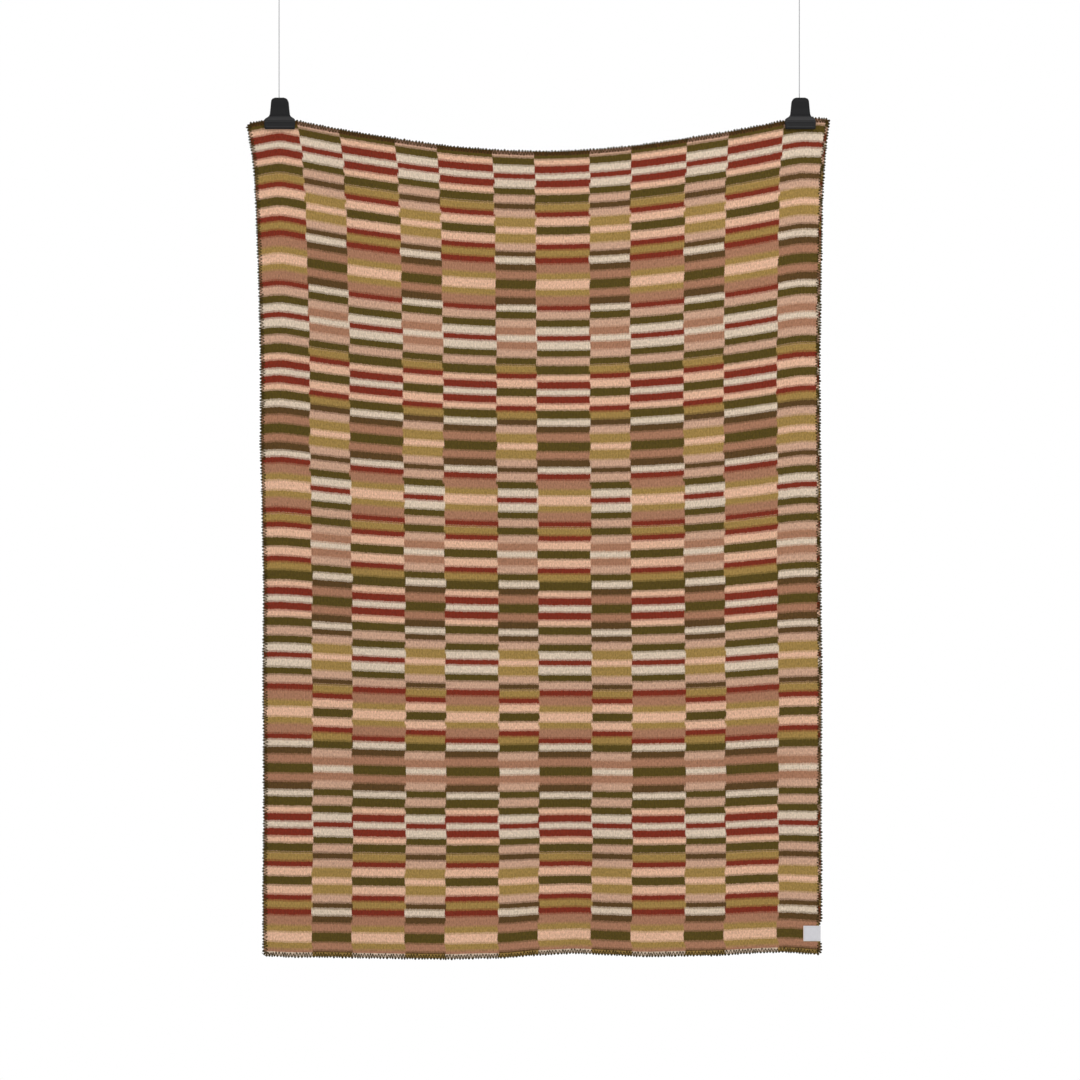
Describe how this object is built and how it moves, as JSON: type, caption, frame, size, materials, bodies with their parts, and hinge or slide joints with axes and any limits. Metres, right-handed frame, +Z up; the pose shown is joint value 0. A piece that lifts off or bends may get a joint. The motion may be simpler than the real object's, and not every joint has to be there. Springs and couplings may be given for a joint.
{
  "type": "wool blanket hanging from spring clips on wires",
  "caption": "Woven wool blanket in short coloured bars with an overcast edge, hanging by its top corners from black spring clips on taut steel wires.",
  "frame": {"origin": "midway between the two ceiling fittings, on the level of their flat top faces; the whole part hangs below it", "axes": "+Z up, +X to the viewer's right along the blanket's width, +Y away from the viewer, through the cloth"},
  "size_m": [1.3932, 0.0334, 2.351],
  "materials": {
    "wool": "brushed weft-faced wool in eight colours",
    "label_tape": "woven tape",
    "clip_plastic": "moulded, satin",
    "spring_steel": "bright drawn",
    "wire_steel": "stranded",
    "fitting_metal": "turned, satin nickel"
  },
  "bodies": {
    "root": {"blanket": "wool", "label": "label_tape", "clip_left_front": "clip_plastic", "clip_left_back": "clip_plastic", "clip_left_pin": "spring_steel", "clip_left_spring": "spring_steel", "clip_left_eye": "wire_steel", "wire_left": "wire_steel", "ceiling_fitting_left": "fitting_metal", "clip_right_front": "clip_plastic", "clip_right_back": "clip_plastic", "clip_right_pin": "spring_steel", "clip_right_spring": "spring_steel", "clip_right_eye": "wire_steel", "wire_right": "wire_steel", "ceiling_fitting_right": "fitting_metal"}
  },
  "joints": []
}
